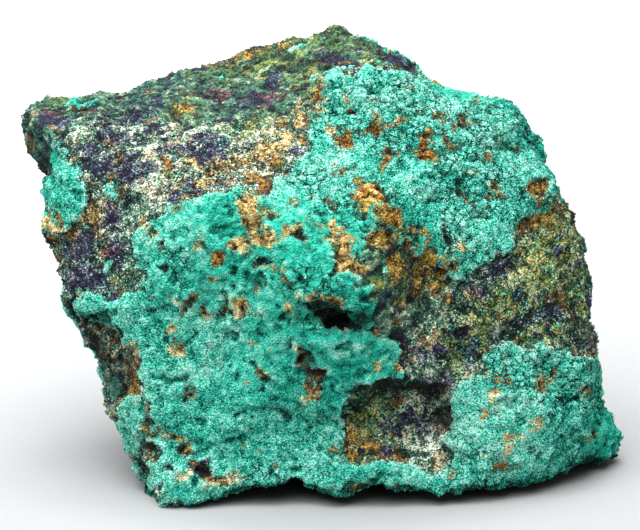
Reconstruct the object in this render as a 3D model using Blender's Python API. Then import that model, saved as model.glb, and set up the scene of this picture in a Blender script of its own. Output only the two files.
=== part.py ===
"""A hand-sized lump of copper ore: dark, rusty rock with a knobbly green crust grown on it.

The stone broke out of a vein and is one solid. It stands on three blunt feet, with its crusted face
to the front. Its form is drawn face-on and then leant back: every point is (across, up, out) in
millimetres, where across runs to the right of the middle, up from the lowest corner, and out of
the crusted face towards whoever looks at it.
"""

import math

import bmesh
import bpy
from mathutils import Vector, noise

MM = 0.001

# How the stone stands
LEAN = math.radians(15.0)  # the crusted face leans back by this much
HEART = Vector((-0.5, 23.5, -13.0))  # a point deep inside, which sees all of the surface
TABLE = 0.9  # height of the table above the leant drawing's zero level
BOX_CENTRE = (0.0, 21.1)  # across and back, where the middle of the stone's box falls

# How finely the surface is cut into triangles, as the longest edge allowed
FRONT_EDGE = 2.0  # on the crusted face
BACK_EDGE = 3.1  # on the back and underside
HOLLOW_EDGE = 1.4  # around a hollow's rim

# Relief that the break and the crust leave on the drawn facets
WORN = 2  # rounds of smoothing, as the drawn edges are worn
SWELL, SWELL_SIZE = 0.7, 9.0  # height and width of broad swellings
CRAGS, CRAG_SIZE = 0.9, 6.5  # sharp crests and gullies on bare rock
CHIPS, CHIP_SIZE = 2.8, 9.0  # tilted flats that the rock broke along, mostly at the back
FRONT_CALM = 0.6  # how much less broken the bare rock is on the crusted face
KNOBS, KNOB_SIZE = 0.6, 2.6  # rounded knobs on the crust
CRUST_STEP = 0.9  # how far the crust's edge stands over the rock beside it
CRUST_EDGE = 0.9  # width of the slope there
CRUST_FADE = 4.0  # how far from the edge the step is evened out

# The stone's rim, clockwise as seen face-on. The top edge is the far side of the stone's flat top.
TOP_RIM = (
    (-30.3, 41.4, -14), (-26.3, 42.2, -18), (-21.8, 42.7, -21), (-17.2, 43.5, -23),
    (-12.4, 45.2, -25), (-9.9, 46.9, -26), (-5.9, 48.1, -26), (-2.0, 48.6, -26),
    (0.2, 49.5, -25.4), (1.6, 50.3, -25), (2.9, 49.3, -24), (6.6, 47.5, -20),
    (9.4, 45.7, -16),
)
RIGHT_RIM = (
    (11.7, 43.2, -12), (13.7, 41.8, -8), (16.0, 41.0, -6), (19.6, 41.1, -9),
    (21.3, 39.2, -11), (22.7, 36.8, -12), (22.2, 34.9, -11), (23.0, 34.1, -7),
    (24.6, 32.5, -7.5), (26.0, 30.3, -8), (27.5, 26.2, -9), (28.1, 23.3, -9),
    (27.8, 21.0, -8), (28.0, 17.5, -8), (28.0, 14.5, -8), (27.8, 11.7, -9),
    (29.9, 10.1, -13), (30.9, 7.0, -14), (31.2, 4.8, -13.5),
)
FOOT_RIM = (
    (28.4, 4.6, -9), (24.3, 3.4, -4), (20.1, 2.6, -1), (16.0, 2.1, 1.5),
    (12.5, 1.2, 2.6), (10.2, 1.8, 2.8), (7.0, 2.2, 3), (2.5, 1.4, 3),
    (0.2, 1.8, 3), (-1.5, 2.7, 2.6), (-3.2, 2.9, 2.4), (-7.5, 2.3, 2.4),
    (-12.0, 1.2, 2.4), (-15.5, -0.1, 2.2),
)
LEFT_RIM = (
    (-18.0, 1.8, -3), (-20.7, 5.9, -6), (-22.1, 11.1, -8), (-22.4, 13.9, -10),
    (-23.5, 17.6, -11), (-24.2, 19.4, -8), (-26.3, 21.0, -3), (-26.1, 22.7, -4),
    (-27.4, 26.4, -6), (-28.3, 29.7, -8), (-28.1, 33.2, -10), (-29.1, 35.5, -11),
    (-31.0, 37.4, -12), (-31.3, 39.9, -13),
)

# The front edge of the flat top, from left to right, and the middle of that top
TOP_EDGE = (
    (-29.0, 39.2, -9), (-26.0, 39.0, -7), (-22.0, 38.4, -5), (-17.0, 38.3, -5),
    (-11.5, 37.9, -5), (-7.0, 38.9, -7), (-3.0, 41.1, -8), (-0.2, 43.1, -6),
    (2.5, 44.2, -5), (6.0, 44.5, -6), (9.5, 43.3, -5.5),
)
TOP_MIDDLE = (
    (-24.5, 41.0, -14), (-15.0, 42.0, -15), (-6.0, 44.0, -17), (1.5, 46.8, -15), (6.0, 46.0, -13),
)

# The dark rock face on the upper left, row by row
DARK_FACE = (
    (-26.0, 36.1, -6), (-22.0, 35.1, -2.5), (-17.0, 34.1, -1), (-12.0, 34.6, -1),
    (-7.0, 36.1, -2.5), (-3.0, 37.1, -3.5), (-1.6, 39.6, -5),
    (-26.0, 31.1, -4.5), (-22.0, 30.1, -1), (-18.0, 31.1, 0.5), (-14.0, 31.6, 1),
    (-9.5, 32.6, 1), (-5.0, 33.6, 0),
    (-24.5, 26.1, -2.5), (-21.0, 26.1, 0), (-19.0, 29.1, 0.5),
    (-24.0, 22.1, -1.5), (-21.0, 21.6, 0.5),
)

# The blunt nose in the middle, and the lip of the ledge that it ends in
NOSE = (
    (-17.0, 26.6, 2), (-12.0, 29.6, 4), (-8.5, 31.3, 4.5), (-8.0, 27.1, 6.5),
    (-11.0, 25.1, 5.5), (-5.0, 29.6, 5), (-2.0, 32.3, 1.5), (1.0, 29.6, 4),
    (-2.0, 27.1, 7), (1.0, 25.1, 8.5), (4.0, 26.1, 8.5), (6.0, 27.1, 7),
    (5.2, 31.1, 4), (8.0, 28.1, 4), (9.0, 25.1, 4.5), (7.5, 22.1, 6.5),
    (4.0, 22.1, 8.5), (1.0, 22.1, 8.5), (-2.0, 24.1, 8), (-6.0, 24.1, 6.5),
    (-1.8, 21.4, 7.5), (1.0, 20.9, 8), (3.5, 19.9, 7.5), (5.5, 19.1, 6.5),
)

# The crusted faces: the big one on the lower left, the one above the nose, the one on the right
LOWER_CRUST = (
    (-16.0, 21.1, 2.5), (-12.0, 21.1, 4), (-8.0, 19.6, 5), (-5.0, 20.6, 6),
    (-19.5, 19.1, 1), (-19.0, 17.1, 1.2), (-17.5, 11.1, 1.2), (-17.0, 7.1, 1.8),
    (-14.0, 13.1, 2.4), (-10.0, 16.1, 3.6), (-6.0, 13.1, 3.6), (-2.0, 18.1, 6.4),
    (0.0, 16.1, 6), (3.0, 16.6, 6.2), (5.5, 16.1, 5.2), (7.5, 14.1, 3.8),
    (-2.0, 12.1, 3.4), (1.0, 10.1, 2.6), (2.0, 7.1, 1.6), (-12.0, 7.1, 2.4),
    (-7.0, 7.1, 2), (-2.0, 6.1, 1.4), (-14.0, 3.1, 2.6), (6.0, 4.4, 2.8),
    (10.5, 4.2, 2.0),
)
UPPER_CRUST = (
    (2.0, 42.1, -4), (6.0, 42.1, -4), (11.0, 41.1, -4), (2.0, 38.1, -2.2),
    (6.0, 38.1, -1.6), (10.0, 38.1, -2), (15.0, 39.6, -4), (19.0, 39.1, -6),
    (0.0, 36.1, -2), (3.0, 35.1, -0.5), (8.0, 34.1, 0.4), (12.0, 34.1, -0.6),
    (16.0, 35.1, -2), (20.0, 36.1, -6.5), (4.0, 32.6, 1.5), (10.0, 30.1, 2),
    (14.0, 29.1, 1), (18.0, 31.1, -1), (22.0, 32.6, -4.5), (16.0, 26.1, 1),
    (20.0, 28.6, -2), (12.0, 26.1, 2.6),
)
RIGHT_CRUST = (
    (15.0, 11.1, 1.2), (18.0, 13.1, 0.6), (22.0, 14.1, -1.4), (26.0, 15.1, -5),
    (18.0, 8.1, 1.2), (23.0, 9.1, -0.8), (27.0, 11.1, -5.0), (26.5, 7.1, -4.6),
    (22.0, 5.6, -0.8), (16.0, 5.1, 1.8), (29.0, 8.1, -9),
)

# The band of bare rock between them
ROCK_BAND = (
    (9.5, 18.1, 3), (12.0, 21.1, 2.5), (16.0, 22.1, 0.4), (16.0, 18.1, 0.2),
    (11.5, 15.1, 1.8), (15.0, 14.1, 0.6), (20.0, 21.1, -1), (24.0, 23.1, -3.4),
    (26.0, 19.1, -5), (22.0, 27.1, -2.4), (25.0, 27.1, -5), (22.0, 17.1, -2),
    (26.8, 16.6, -6), (5.0, 10.1, 2), (8.0, 8.1, 1), (11.5, 9.1, 0.6),
)

# The back, which is broken flat in steps, its feet, and the hollow underside
BACK = (
    (-19.0, 42.5, -27), (-11.0, 44.0, -30.5), (-3.0, 45.0, -33), (4.0, 44.5, -34),
    (9.0, 42.0, -29), (14.0, 39.5, -22),
    (-25.5, 36.0, -22), (-17.0, 37.0, -28), (-9.0, 38.0, -32), (-1.0, 39.0, -35.5),
    (3.5, 38.0, -37), (10.0, 36.5, -31), (16.5, 34.5, -25), (21.0, 33.0, -20),
    (-24.5, 29.5, -21.5), (-15.0, 30.0, -28), (-6.0, 31.0, -33), (3.0, 30.0, -38),
    (11.0, 29.5, -31), (18.0, 29.0, -24.5), (23.5, 29.0, -18),
    (4.5, 27.5, -40), (12.0, 27.0, -34), (19.5, 26.0, -27),
    (-23.0, 22.5, -20), (-16.5, 22.0, -26), (-7.0, 23.0, -32.5), (2.5, 21.0, -39),
    (12.5, 20.0, -34), (20.5, 19.0, -27), (24.5, 20.0, -20),
    (-20.0, 17.0, -18), (-14.5, 15.0, -24.5), (-8.0, 15.0, -32), (3.5, 15.0, -38),
    (12.0, 14.0, -34), (20.0, 13.5, -27), (25.0, 13.5, -20), (26.0, 10.5, -20),
)
REAR_FEET = (
    (-10.5, 9.7, -30.5), (-8.0, 8.6, -33), (-5.0, 8.8, -32), (-9.0, 12.0, -34),
    (-2.5, 12.0, -35.5), (3.5, 12.8, -36.5), (8.0, 8.9, -31.5), (11.5, 8.3, -30.5),
    (11.5, 11.0, -33), (15.0, 9.6, -27.5), (-14.0, 10.5, -25.5), (18.5, 10.0, -25),
)
UNDERSIDE = (
    (-13.0, 4.0, -9), (-6.0, 4.4, -7), (0.5, 5.0, -7), (7.0, 4.4, -8),
    (11.0, 3.2, -8), (14.5, 2.9, -9.5), (17.5, 4.2, -11), (13.0, 2.9, -3),
    (20.0, 5.2, -13), (25.0, 6.2, -16), (-16.0, 6.4, -15), (-9.0, 6.8, -18),
    (0.0, 7.4, -19), (9.0, 7.0, -19), (18.0, 7.6, -21), (-4.0, 9.9, -28),
    (5.0, 10.1, -29),
)

# Where the green crust grows, as seen face-on (across, up). It runs over the rim on the right and below.
CRUST_OUTLINE = (
    (-24.5, 19.7), (-24.0, 21.9), (-22.2, 21.9), (-21.3, 21.0), (-20.1, 21.2), (-18.0, 22.1),
    (-17.0, 23.6), (-18.2, 24.3), (-18.7, 26.1), (-18.6, 27.8), (-17.4, 28.9), (-16.0, 29.9),
    (-15.2, 30.9), (-12.4, 31.3), (-10.0, 31.9), (-8.2, 32.7), (-7.0, 31.5), (-5.2, 31.4),
    (-4.1, 33.4), (-2.3, 34.7), (-1.2, 36.2), (-0.8, 37.8), (-0.6, 39.9), (0.1, 42.0),
    (0.9, 43.2), (2.0, 43.8), (4.1, 44.1), (6.0, 44.4), (7.6, 44.2), (9.0, 43.5),
    (11.4, 43.2), (15.0, 42.8), (19.5, 42.6), (24.0, 39.0), (24.6, 34.6), (24.0, 32.6),
    (23.6, 31.2), (22.0, 30.4), (20.5, 29.3), (19.5, 27.9), (19.3, 26.1), (17.8, 25.5),
    (15.5, 24.1), (14.2, 23.1), (13.0, 23.9), (11.0, 24.9), (9.5, 26.1), (8.5, 27.1),
    (7.2, 27.9), (5.0, 27.6), (3.0, 26.6), (1.5, 24.9), (1.0, 23.6), (2.5, 22.6),
    (5.2, 22.1), (5.8, 20.6), (5.2, 18.9), (4.5, 17.9), (6.5, 17.3), (7.8, 16.9),
    (8.0, 15.3), (8.6, 13.3), (5.5, 13.0), (3.6, 12.1), (2.6, 10.6), (2.2, 9.1),
    (2.3, 7.1), (2.6, 5.4), (3.8, 4.9), (6.9, 4.7), (8.0, 4.9), (9.4, 4.1),
    (11.6, 3.7), (12.8, 4.3), (13.2, 5.9), (12.0, 7.5), (13.0, 8.6), (13.2, 10.6),
    (13.6, 11.9), (14.4, 13.0), (15.8, 13.6), (16.6, 14.4), (16.2, 15.2), (17.3, 16.3),
    (18.7, 16.7), (20.7, 15.9), (21.9, 16.7), (24.0, 16.2), (26.1, 15.5), (28.5, 15.1),
    (31.0, 13.0), (33.0, 4.0), (28.0, 1.0), (12.0, -2.0), (-17.0, -3.0), (-21.0, 4.0),
    (-23.0, 9.9), (-20.8, 10.3), (-19.5, 11.5), (-17.8, 11.3), (-17.4, 12.6), (-18.0, 14.9),
    (-19.4, 16.6), (-20.2, 18.3), (-22.2, 19.4),
)

# The crust's other large patches, as ovals (across, up, half width, half height, turned anticlockwise)
CRUST_PATCHES = (
    (-25.8, 31.0, 2.2, 4.2, -10), (-24.6, 36.0, 0.9, 2.0, 20), (-23.2, 41.4, 1.4, 0.8, 20),
)

# Hollows in the front, as ovals with a steep upper lip: (across, up, half width, half height, turn, depth)
HOLLOWS = {
    "under the ledge": (1.6, 19.3, 3.2, 1.6, -18, 3.2),
    "under the tongue": (8.0, 8.9, 5.4, 4.2, 0, 2.3),
    "left of the tongue": (-1.2, 14.5, 1.3, 2.4, -15, 0.9),
    "below the left spur": (-22.4, 18.0, 2.4, 1.9, -25, 2.6),
    "rusty gully": (10.6, 23.6, 0.9, 2.6, 12, 0.9),
}


def everything_drawn():
    """All the drawn points of the stone's surface."""
    groups = (
        TOP_RIM, RIGHT_RIM, FOOT_RIM, LEFT_RIM, TOP_EDGE, TOP_MIDDLE, DARK_FACE, NOSE,
        LOWER_CRUST, UPPER_CRUST, RIGHT_CRUST, ROCK_BAND, BACK, REAR_FEET, UNDERSIDE,
    )
    return [Vector(point) for group in groups for point in group]


def turned_to_smallest(loop):
    """A face's corners in the same turning order, beginning with the smallest number."""
    start = loop.index(min(loop))
    return loop[start:] + loop[:start]


def from_facets(points, facets):
    block = bmesh.new()
    corners = [block.verts.new(point) for point in points]
    for facet in facets:
        block.faces.new([corners[i] for i in facet])
    block.normal_update()
    return block


def rough_block():
    """The stone as big facets between its drawn points.

    Which points are neighbours follows from how they lie around the heart: their directions are
    wrapped in a convex hull, and each corner then goes back to its own place. The facets are put in
    order, so that the stone comes out the same every time.
    """
    block = bmesh.new()
    places = {}
    for point in everything_drawn():
        corner = block.verts.new((point - HEART).normalized())
        places[corner] = point
    bmesh.ops.convex_hull(block, input=block.verts)
    block.verts.index_update()
    points = [places[corner] for corner in block.verts]
    facets = sorted(turned_to_smallest([corner.index for corner in face.verts]) for face in block.faces)
    block.free()
    return from_facets(points, facets)


def smoothstep(low, high, value):
    t = min(max((value - low) / (high - low), 0.0), 1.0)
    return t * t * (3.0 - 2.0 * t)


def wander(point):
    """A direction and length that change smoothly from place to place."""
    return Vector([noise.noise(point + Vector((shift, -shift, 3.7))) for shift in (0.0, 9.3, 21.9)])


def in_oval(point, oval):
    """How far out the point lies in an oval seen face-on, as (radius, height): radius is 1 on its rim."""
    across, up, half_width, half_height, turn = oval[:5]
    angle = math.radians(turn)
    dx, dy = point.x - across, point.y - up
    x = (dx * math.cos(angle) + dy * math.sin(angle)) / half_width
    y = (dy * math.cos(angle) - dx * math.sin(angle)) / half_height
    return math.hypot(x, y), y


def longest_allowed(middle, normal):
    """The longest edge allowed at a place on the surface."""
    near_hollow = min(abs(in_oval(middle, hollow)[0] - 1.0) for hollow in HOLLOWS.values())
    if normal.z > 0 and near_hollow < 0.3:
        return HOLLOW_EDGE
    return BACK_EDGE + (FRONT_EDGE - BACK_EDGE) * smoothstep(-0.3, 0.2, normal.z)


def cut_finely(block):
    """Splits edges until none is longer than its place allows."""
    while True:
        too_long = []
        for edge in block.edges:
            start, end = edge.verts
            allowed = longest_allowed((start.co + end.co) / 2, (start.normal + end.normal) / 2)
            if edge.calc_length() > allowed:
                too_long.append(edge)
        if not too_long:
            return
        bmesh.ops.subdivide_edges(block, edges=too_long, cuts=1)
        bmesh.ops.triangulate(block, faces=block.faces, quad_method="BEAUTY", ngon_method="BEAUTY")
        bmesh.ops.beautify_fill(block, faces=block.faces, edges=block.edges, method="ANGLE")
        block.normal_update()


def distance_inside(point, outline):
    """How far a face-on point lies inside an outline, and negative outside it."""
    inside = False
    nearest = math.inf
    for (x0, y0), (x1, y1) in zip(outline, outline[1:] + outline[:1]):
        if (y0 > point.y) != (y1 > point.y):
            if point.x < x0 + (point.y - y0) * (x1 - x0) / (y1 - y0):
                inside = not inside
        along = ((point.x - x0) * (x1 - x0) + (point.y - y0) * (y1 - y0))
        along = min(max(along / ((x1 - x0) ** 2 + (y1 - y0) ** 2), 0.0), 1.0)
        gap = math.hypot(point.x - x0 - along * (x1 - x0), point.y - y0 - along * (y1 - y0))
        nearest = min(nearest, gap)
    return nearest if inside else -nearest


def crust_here(point, facing_front):
    """How far inside the crust a point of the surface lies, in millimetres, and negative on bare rock."""
    strayed = point + wander(point / 2.2) * 0.6
    front = distance_inside(strayed, CRUST_OUTLINE)
    for patch in CRUST_PATCHES:
        front = max(front, (1.0 - in_oval(strayed, patch)[0]) * patch[2])
    back = 6.0 * noise.fractal(point / 13.0, 1.0, 2.0, 3) + 0.4
    return back + (front - back) * facing_front


def carved(point):
    """How deep a hollow is at a face-on point."""
    depth = 0.0
    for hollow in HOLLOWS.values():
        radius, height = in_oval(point, hollow)
        slope = 0.25 if height > 0 else 0.75
        depth = max(depth, hollow[5] * smoothstep(1.0, 1.0 - slope, radius))
    return depth


def chipped(point):
    """How far out the break's tilted flats stand at a point: each cell is a flat with its own tilt."""
    centre = noise.voronoi(point / CHIP_SIZE)[1][0]
    return (point / CHIP_SIZE - centre).dot(wander(centre * 5.3))


def relief(point, facing_front):
    """How far the surface stands out at a point, in millimetres."""
    inside = crust_here(point, facing_front)
    crust = smoothstep(-CRUST_EDGE / 2, CRUST_EDGE / 2, inside)
    step = CRUST_STEP * (crust - 0.5) * math.exp(-abs(inside) / CRUST_FADE)
    swell = SWELL * noise.fractal(point / SWELL_SIZE, 1.0, 2.0, 3)
    crags = CRAGS * (0.5 - abs(noise.fractal(point / CRAG_SIZE, 1.0, 2.0, 2)) * 2.0)
    knobs = KNOBS * (0.4 - noise.voronoi(point / KNOB_SIZE)[0][0])
    broken = (crags + CHIPS * chipped(point)) * (1.0 - FRONT_CALM * facing_front)
    return swell + step + broken * (1.0 - crust) + knobs * crust


def hollow_out(block):
    """Pushes the front's hollows into the block."""
    for corner in block.verts:
        corner.co.z -= carved(corner.co) * smoothstep(-0.3, 0.1, corner.normal.z)
    block.normal_update()


def wear_down(block):
    """Rounds the edges that the drawing left."""
    for _ in range(WORN):
        bmesh.ops.smooth_vert(
            block, verts=block.verts, factor=0.5, use_axis_x=True, use_axis_y=True, use_axis_z=True
        )
    block.normal_update()


def roughen(block):
    """Raises the relief of the break and the crust on the finely cut block."""
    moves = [
        corner.normal * relief(corner.co, smoothstep(-0.3, 0.1, corner.normal.z))
        for corner in block.verts
    ]
    for corner, move in zip(block.verts, moves):
        corner.co += move


def leant(point):
    """A face-on point in millimetres, leant back and set down in the stone's own frame."""
    across, up, out = point
    return Vector((
        across - BOX_CENTRE[0],
        up * math.sin(LEAN) - out * math.cos(LEAN) - BOX_CENTRE[1],
        up * math.cos(LEAN) + out * math.sin(LEAN) - TABLE,
    ))


def flatten_feet(block):
    """Cuts the lowest tips off at the table, as its feet are worn flat."""
    everything = block.verts[:] + block.edges[:] + block.faces[:]
    cut = bmesh.ops.bisect_plane(block, geom=everything, plane_co=(0, 0, 0), plane_no=(0, 0, 1),
                                 clear_inner=True)
    rims = [piece for piece in cut["geom_cut"] if isinstance(piece, bmesh.types.BMEdge)]
    bmesh.ops.holes_fill(block, edges=rims)
    bmesh.ops.triangulate(block, faces=[face for face in block.faces if len(face.verts) > 3])


def rock_material():
    material = bpy.data.materials.new("copper_ore")
    material.use_nodes = True
    shader = material.node_tree.nodes["Principled BSDF"]
    shader.inputs["Base Color"].default_value = (0.06, 0.36, 0.28, 1.0)
    shader.inputs["Roughness"].default_value = 0.85
    shader.inputs["Metallic"].default_value = 0.0
    return material


def clear_scene():
    for old in list(bpy.data.objects):
        bpy.data.objects.remove(old)


def build_stone():
    block = rough_block()
    cut_finely(block)
    hollow_out(block)
    cut_finely(block)
    wear_down(block)
    roughen(block)
    for corner in block.verts:
        corner.co = leant(corner.co)
    flatten_feet(block)
    bmesh.ops.scale(block, vec=(MM, MM, MM), verts=block.verts)
    mesh = bpy.data.meshes.new("stone")
    block.to_mesh(mesh)
    block.free()
    mesh.materials.append(rock_material())
    stone = bpy.data.objects.new("stone", mesh)
    bpy.context.scene.collection.objects.link(stone)


clear_scene()
build_stone()
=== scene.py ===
import math

import bmesh
import bpy
import numpy as np
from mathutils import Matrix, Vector, noise


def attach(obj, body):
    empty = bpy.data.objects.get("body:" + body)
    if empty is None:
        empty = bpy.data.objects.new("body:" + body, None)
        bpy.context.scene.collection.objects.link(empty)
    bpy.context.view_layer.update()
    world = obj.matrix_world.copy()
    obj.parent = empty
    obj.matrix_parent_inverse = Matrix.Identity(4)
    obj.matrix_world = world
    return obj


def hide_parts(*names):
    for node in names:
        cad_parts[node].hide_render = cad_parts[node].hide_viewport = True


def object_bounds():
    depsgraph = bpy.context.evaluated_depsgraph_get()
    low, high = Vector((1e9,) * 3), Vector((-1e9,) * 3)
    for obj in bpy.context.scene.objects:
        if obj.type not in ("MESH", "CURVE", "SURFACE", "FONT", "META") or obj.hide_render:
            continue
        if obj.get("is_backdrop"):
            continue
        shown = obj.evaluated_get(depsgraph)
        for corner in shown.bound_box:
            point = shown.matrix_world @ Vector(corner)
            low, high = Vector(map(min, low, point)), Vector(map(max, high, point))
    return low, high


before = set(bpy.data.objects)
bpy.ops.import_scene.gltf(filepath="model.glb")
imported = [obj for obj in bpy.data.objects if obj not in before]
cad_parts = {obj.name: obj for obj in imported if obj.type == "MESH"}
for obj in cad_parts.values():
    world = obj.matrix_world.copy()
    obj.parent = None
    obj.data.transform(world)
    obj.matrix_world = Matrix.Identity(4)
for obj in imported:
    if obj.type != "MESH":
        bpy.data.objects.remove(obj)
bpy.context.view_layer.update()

# ---- The camera and the studio ----
# The stone is seen a little from above, on a wide white table, under a broad soft light overhead, a
# like one in front, and one behind that whitens the table there.

LEAN = math.radians(15.0)  # the camera looks down by this much, and the crusted face leans back by it
VIEW_DISTANCE = 0.700
LOOKED_AT = Vector((0.0, -0.01473, 0.02286))
SENSOR = 36.0
SEEN_WIDTH = 0.064
SKY_LIGHT = 0.21
TABLE_HALF = 1.5
TABLE_WHITE = (0.340, 0.347, 0.352, 1.0)

camera_data = bpy.data.cameras.new("camera")
camera_data.sensor_width = SENSOR
camera_data.lens = SENSOR * VIEW_DISTANCE / SEEN_WIDTH
camera_data.clip_start = 0.01
camera = bpy.data.objects.new("camera", camera_data)
camera.location = LOOKED_AT + VIEW_DISTANCE * Vector((0.0, -math.cos(LEAN), math.sin(LEAN)))
camera.rotation_euler = (math.pi / 2 - LEAN, 0.0, 0.0)
bpy.context.scene.collection.objects.link(camera)
bpy.context.scene.camera = camera
bpy.context.scene.view_settings.view_transform = "Standard"

studio_world = bpy.data.worlds.new("studio")
bpy.context.scene.world = studio_world
studio_world.use_nodes = True
sky = studio_world.node_tree.nodes["Background"]
sky.inputs["Color"].default_value = (1.0, 1.0, 1.0, 1.0)
sky.inputs["Strength"].default_value = SKY_LIGHT


def softbox(name, place, width, watts, aim=(0.0, 0.0, 0.02), spread=180.0):
    """A square light that faces its aim, with a grid in front that narrows it to a spread in degrees."""
    light = bpy.data.lights.new(name, "AREA")
    light.size = width
    light.energy = watts
    light.spread = math.radians(spread)
    lamp = bpy.data.objects.new(name, light)
    lamp.location = place
    lamp.rotation_euler = (Vector(aim) - Vector(place)).to_track_quat("-Z", "Y").to_euler()
    bpy.context.scene.collection.objects.link(lamp)


softbox("light_overhead", (-0.09, 0.04, 0.62), 0.70, 5.7)
softbox("light_front", (-0.16, -0.29, 0.62), 0.80, 9.2)
softbox("light_behind", (-0.02, 0.19, 0.36), 0.20, 0.50, aim=(-0.02, 0.19, 0.0), spread=65.0)

table_corners = ((-1, -1), (1, -1), (1, 1), (-1, 1))
table_points = [(side * TABLE_HALF, back * TABLE_HALF, 0.0) for side, back in table_corners]
table_mesh = bpy.data.meshes.new("white_table")
table_mesh.from_pydata(table_points, [], [(0, 1, 2, 3)])
white_table = bpy.data.objects.new("white_table", table_mesh)
bpy.context.scene.collection.objects.link(white_table)
table_white = bpy.data.materials.new("table_white")
table_white.use_nodes = True
table_paint = table_white.node_tree.nodes["Principled BSDF"]
table_paint.inputs["Base Color"].default_value = TABLE_WHITE
table_paint.inputs["Roughness"].default_value = 0.6
table_mesh.materials.append(table_white)
white_table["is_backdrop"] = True


# ---- The stone ----
# One broken lump of vein rock, dark and rusty, with a knobbly crust of green copper minerals that
# grew over it in a skin a millimetre or so thick. The solid gives its form; here it gets the relief
# too fine for that, and one material, which tells crust, rust, stains and bare rock apart.

# All of it is drawn face-on in millimetres: across, up, and out towards whoever looks at the crust
MM = 1000.0
TABLE_HEIGHT = 0.9
BOX_CENTRE = (0.0, 21.1)
EYE_LEVEL = 24.6
EYE_DISTANCE = 700.0
FRONT_EDGE = 0.38  # longest edge of a triangle on the crusted face
BACK_EDGE = 0.85  # and everywhere else
SPLITS = 7
ROUNDINGS = 9
ROUND_OFF, SWELL_BACK = 0.55, -0.57  # each second step undoes the shrinking of the first


def face_on(places):
    """Places in the stone's frame, in metres, as face-on millimetres."""
    across = places[:, 0] * MM + BOX_CENTRE[0]
    back = places[:, 1] * MM + BOX_CENTRE[1]
    high = places[:, 2] * MM + TABLE_HEIGHT
    return np.stack((
        across,
        back * math.sin(LEAN) + high * math.cos(LEAN),
        high * math.sin(LEAN) - back * math.cos(LEAN),
    ), axis=1)


def set_down(places):
    """Face-on millimetres as places in the stone's frame, in metres."""
    across, up, out = places.T
    return np.stack((
        across - BOX_CENTRE[0],
        up * math.sin(LEAN) - out * math.cos(LEAN) - BOX_CENTRE[1],
        up * math.cos(LEAN) + out * math.sin(LEAN) - TABLE_HEIGHT,
    ), axis=1) / MM


def upward(vectors):
    """How far up from the table face-on places, or directions, reach."""
    return vectors[:, 1] * math.cos(LEAN) + vectors[:, 2] * math.sin(LEAN)


def smoothstep(low, high, value):
    """A smooth rise from 0 at low to 1 at high, or a fall where high is the smaller."""
    t = np.clip((value - low) / (high - low), 0.0, 1.0)
    return t * t * (3.0 - 2.0 * t)


def gathered(where, values, count):
    """The sum of values that land on each of count places."""
    if values.ndim == 1:
        return np.bincount(where, values, count)
    return np.stack([np.bincount(where, column, count) for column in values.T], axis=1)


def outward(points, triangles):
    """The surface's direction at each point."""
    a, b, c = (points[triangles[:, i]] for i in range(3))
    facing = np.cross(b - a, c - a)
    total = gathered(triangles.T.ravel(), np.tile(facing, (3, 1)), len(points))
    return total / np.maximum(np.linalg.norm(total, axis=1, keepdims=True), 1e-12)


def edges_of(triangles):
    """Each edge once, and for each triangle its three edges' numbers."""
    ends = np.concatenate([triangles[:, pair] for pair in ([0, 1], [1, 2], [2, 0])])
    ends.sort(axis=1)
    most = triangles.max() + 1
    keys, which = np.unique(ends[:, 0] * most + ends[:, 1], return_inverse=True)
    return np.stack((keys // most, keys % most), axis=1), which.reshape(3, -1).T


def split_long(points, triangles):
    """Splits every edge that is longer than its place allows, once."""
    facing = outward(points, triangles)
    edges, sides = edges_of(triangles)
    length = np.linalg.norm(points[edges[:, 0]] - points[edges[:, 1]], axis=1)
    frontal = smoothstep(-0.15, 0.1, facing[edges].mean(axis=1)[:, 2])
    long = length > BACK_EDGE + (FRONT_EDGE - BACK_EDGE) * frontal
    middle = np.full(len(edges), -1)
    middle[long] = len(points) + np.arange(long.sum())
    points = np.concatenate([points, points[edges[long]].mean(axis=1)])
    mids = middle[sides]
    marks = (mids >= 0).sum(axis=1)
    parts = [triangles[marks == 0]]
    for turn in range(3):
        a, b, c = (triangles[:, (turn + i) % 3] for i in range(3))
        ab, bc, ca = (mids[:, (turn + i) % 3] for i in range(3))
        one = (marks == 1) & (ab >= 0)
        parts += [np.stack(loop, axis=1)[one] for loop in ((a, ab, c), (ab, b, c))]
        two = (marks == 2) & (ca < 0)
        parts += [np.stack(loop, axis=1)[two] for loop in ((ab, b, bc), (a, ab, c), (ab, bc, c))]
    a, b, c = triangles[marks == 3].T
    ab, bc, ca = mids[marks == 3].T
    parts += [np.stack(loop, axis=1) for loop in ((a, ab, ca), (ab, b, bc), (ca, bc, c), (ab, bc, ca))]
    return points, np.concatenate(parts)


def evened(values, edges, rounds, share):
    """Values at the points, each drawn towards the mean of its neighbours."""
    values = values.copy()
    near, far = np.concatenate([edges, edges[:, ::-1]]).T
    count = np.bincount(near, minlength=len(values)).astype(float)
    count = count.reshape((-1,) + (1,) * (values.ndim - 1))
    for _ in range(rounds):
        values += share * (gathered(near, values[far], len(values)) / count - values)
    return values


rough = bmesh.new()
rough.from_mesh(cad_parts["stone"].data)
bmesh.ops.remove_doubles(rough, verts=rough.verts, dist=1e-7)
bmesh.ops.triangulate(rough, faces=rough.faces)
points = face_on(np.array([corner.co for corner in rough.verts]))
rough.verts.index_update()
triangles = np.array([[corner.index for corner in face.verts] for face in rough.faces])
rough.free()
for _ in range(SPLITS):
    points, triangles = split_long(points, triangles)
edges, _ = edges_of(triangles)
resting = upward(points) < TABLE_HEIGHT + 0.01
flats = points[resting].copy()
for _ in range(ROUNDINGS):
    points = evened(points, edges, 1, ROUND_OFF)
    points = evened(points, edges, 1, SWELL_BACK)
points[resting] = flats


def everywhere(recipe, size):
    """A noise recipe read at every point of the stone, with features about size mm wide."""
    return np.array([recipe(Vector(place)) for place in points / size])


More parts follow.
